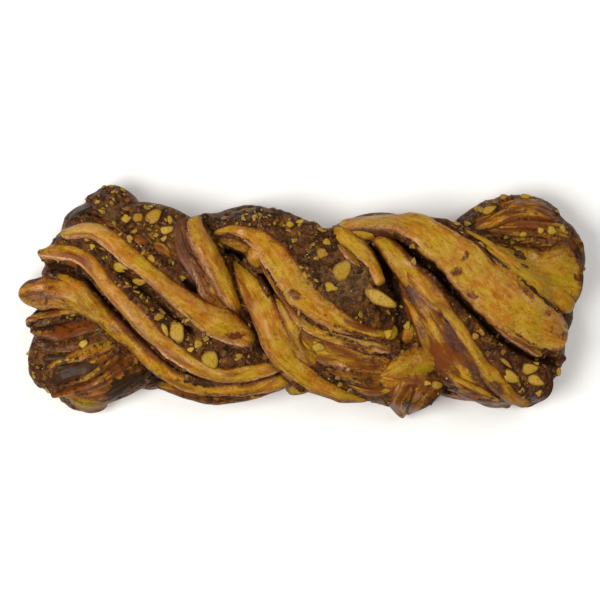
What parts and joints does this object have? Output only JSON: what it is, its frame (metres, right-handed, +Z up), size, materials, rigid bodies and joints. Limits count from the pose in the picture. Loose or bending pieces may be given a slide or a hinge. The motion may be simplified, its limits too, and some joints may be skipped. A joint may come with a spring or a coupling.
{
  "type": "chocolate plaited pastry",
  "caption": "Long baked pastry plaited from split strands of sweet dough with chocolate filling and flaked almonds, flat underneath so it rests on a tray or board.",
  "frame": {"origin": "middle of the flat base that the plait rests on", "axes": "+X along the plait, +Y across it, +Z up out of the split and filled side"},
  "size_m": [0.3199, 0.1309, 0.0489],
  "materials": {
    "dough": "satin",
    "filling": "satin",
    "almond": "satin"
  },
  "bodies": {
    "root": {"plait": "dough"}
  },
  "joints": []
}
